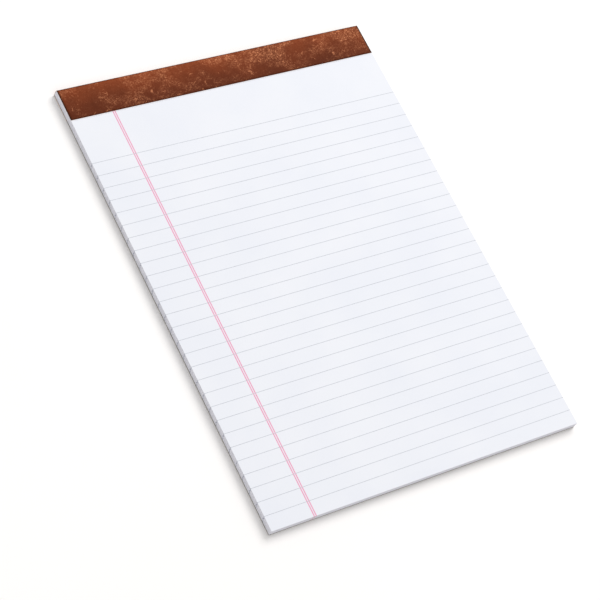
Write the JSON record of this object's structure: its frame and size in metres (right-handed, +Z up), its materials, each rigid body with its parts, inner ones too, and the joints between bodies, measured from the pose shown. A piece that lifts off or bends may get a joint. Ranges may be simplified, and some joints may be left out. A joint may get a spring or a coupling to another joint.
{
  "type": "legal pad",
  "caption": "Ruled writing pad of perforated letter-size sheets on a chipboard back, wire-stitched and bound across the head with a folded leather-look strip.",
  "frame": {"origin": "under the middle of the pad, on the plane that it lies on", "axes": "+X across the page from its margin side, +Y up the page to the bound head, +Z up out of the written face"},
  "size_m": [0.216, 0.2986, 0.0056],
  "materials": {
    "page_paper": "matte",
    "chipboard": "matte",
    "strip_paper": "satin",
    "stitch_wire": "satin",
    "rule_ink": "matte",
    "margin_ink": "matte"
  },
  "bodies": {
    "root": {"sheets": "page_paper", "backing_board": "chipboard", "binding_strip": "strip_paper", "wire_stitches": "stitch_wire", "blue_rules": "rule_ink", "margin_rules": "margin_ink"}
  },
  "joints": []
}
